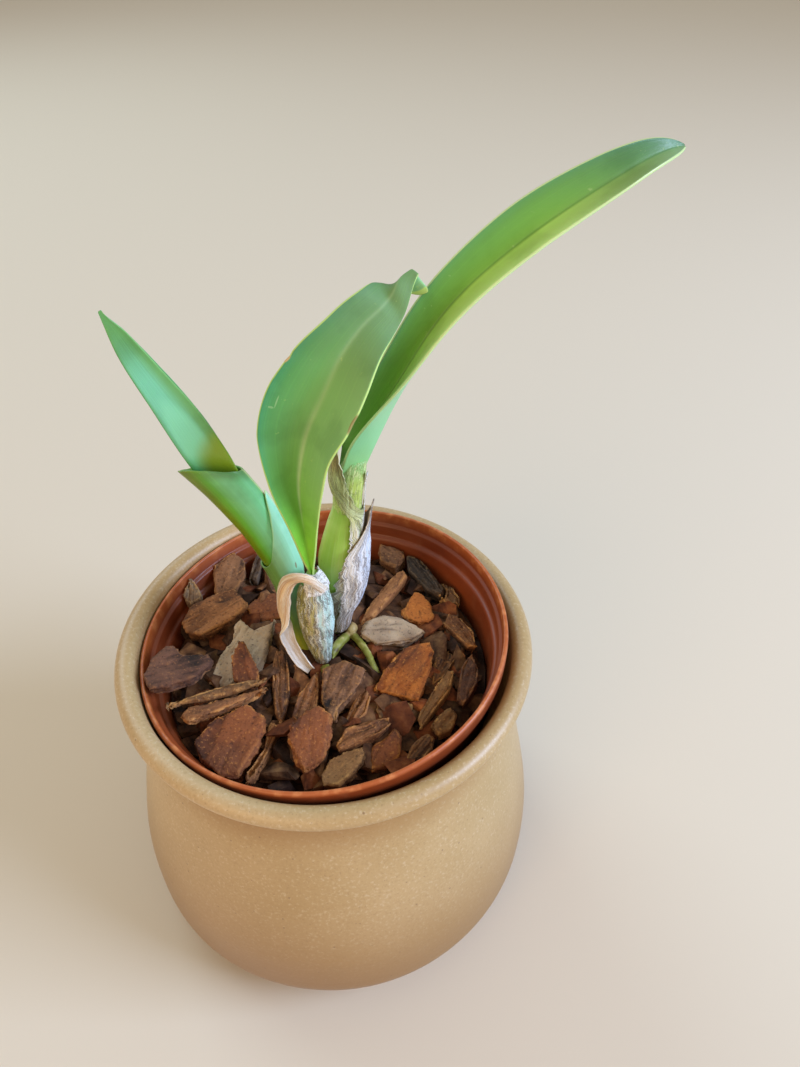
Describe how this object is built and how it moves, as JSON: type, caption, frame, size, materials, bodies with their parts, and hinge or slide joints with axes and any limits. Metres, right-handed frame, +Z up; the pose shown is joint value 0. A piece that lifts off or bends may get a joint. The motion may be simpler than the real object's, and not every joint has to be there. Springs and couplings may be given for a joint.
{
  "type": "potted orchid",
  "caption": "Young cattleya orchid in bark, growing in a plastic nursery pot that leans inside a wide-bellied stoneware cover pot with a rolled rim.",
  "frame": {"origin": "centre of the cover pot's flat base, on the surface that it stands on", "axes": "+Z up, -Y towards the front of the plant, +X to the right, where the long leaf reaches out"},
  "size_m": [0.1747, 0.148, 0.2605],
  "materials": {
    "stoneware": "speckled tan satin stoneware glaze",
    "plastic": "terracotta-brown moulded plastic, slightly glossy",
    "bulb": "smooth green pseudobulb, satin",
    "papery": "dry silvery papery sheath with lengthwise veins",
    "straw": "dry tan and white curled bract, matte",
    "leaf": "leathery mid-green leaf, satin",
    "fresh": "fresh blue-green young leaf, satin",
    "root": "green and brown rhizome and roots, matte",
    "bark_bed": "dark brown orchid bark, matte",
    "bark_mauve": "mauve-brown bark chip, matte",
    "bark_rust": "red-brown bark chip, matte",
    "bark_brown": "brown bark chip, matte",
    "bark_tan": "light brown bark chip, matte",
    "bark_umber": "dark brown bark chip, matte",
    "bark_grey": "weathered grey bark chip, matte",
    "bark_orange": "orange-brown bark chip, matte",
    "bark_char": "nearly black bark chip, matte"
  },
  "bodies": {
    "root": {"cover_pot": "stoneware", "nursery_pot": "plastic", "pseudobulb_front": "bulb", "pseudobulb_back": "bulb", "sheath_front": "papery", "sheath_back": "papery", "sheath_back_outer": "papery", "bract_curled": "straw", "leaf_long": "leaf", "leaf_broad": "leaf", "leaf_new": "fresh", "leaf_second": "fresh", "shoot_sheath": "fresh", "rhizome_roots": "root", "bark_chip_01": "bark_mauve", "bark_chip_02": "bark_tan", "bark_chip_03": "bark_rust", "bark_chip_04": "bark_brown", "bark_chip_05": "bark_umber", "bark_chip_06": "bark_rust", "bark_chip_07": "bark_brown", "bark_chip_08": "bark_brown", "bark_chip_09": "bark_tan", "bark_chip_10": "bark_grey", "bark_chip_11": "bark_orange", "bark_chip_12": "bark_grey", "bark_chip_13": "bark_tan", "bark_chip_14": "bark_brown", "bark_chip_15": "bark_brown", "bark_chip_16": "bark_rust", "bark_chip_17": "bark_brown", "bark_chip_18": "bark_orange", "bark_chip_19": "bark_char", "bark_chip_20": "bark_tan", "bark_chip_21": "bark_brown", "bark_chip_22": "bark_mauve", "bark_chip_23": "bark_tan", "bark_chip_24": "bark_rust", "bark_chip_25": "bark_umber", "bark_chip_26": "bark_brown", "bark_chip_27": "bark_grey", "bark_chip_28": "bark_umber", "bark_chip_29": "bark_char", "bark_chip_30": "bark_rust", "bark_chip_31": "bark_umber", "bark_chip_32": "bark_tan", "bark_chip_33": "bark_brown", "bark_chip_34": "bark_brown", "bark_chip_35": "bark_umber", "bark_bed": "bark_bed"}
  },
  "joints": []
}
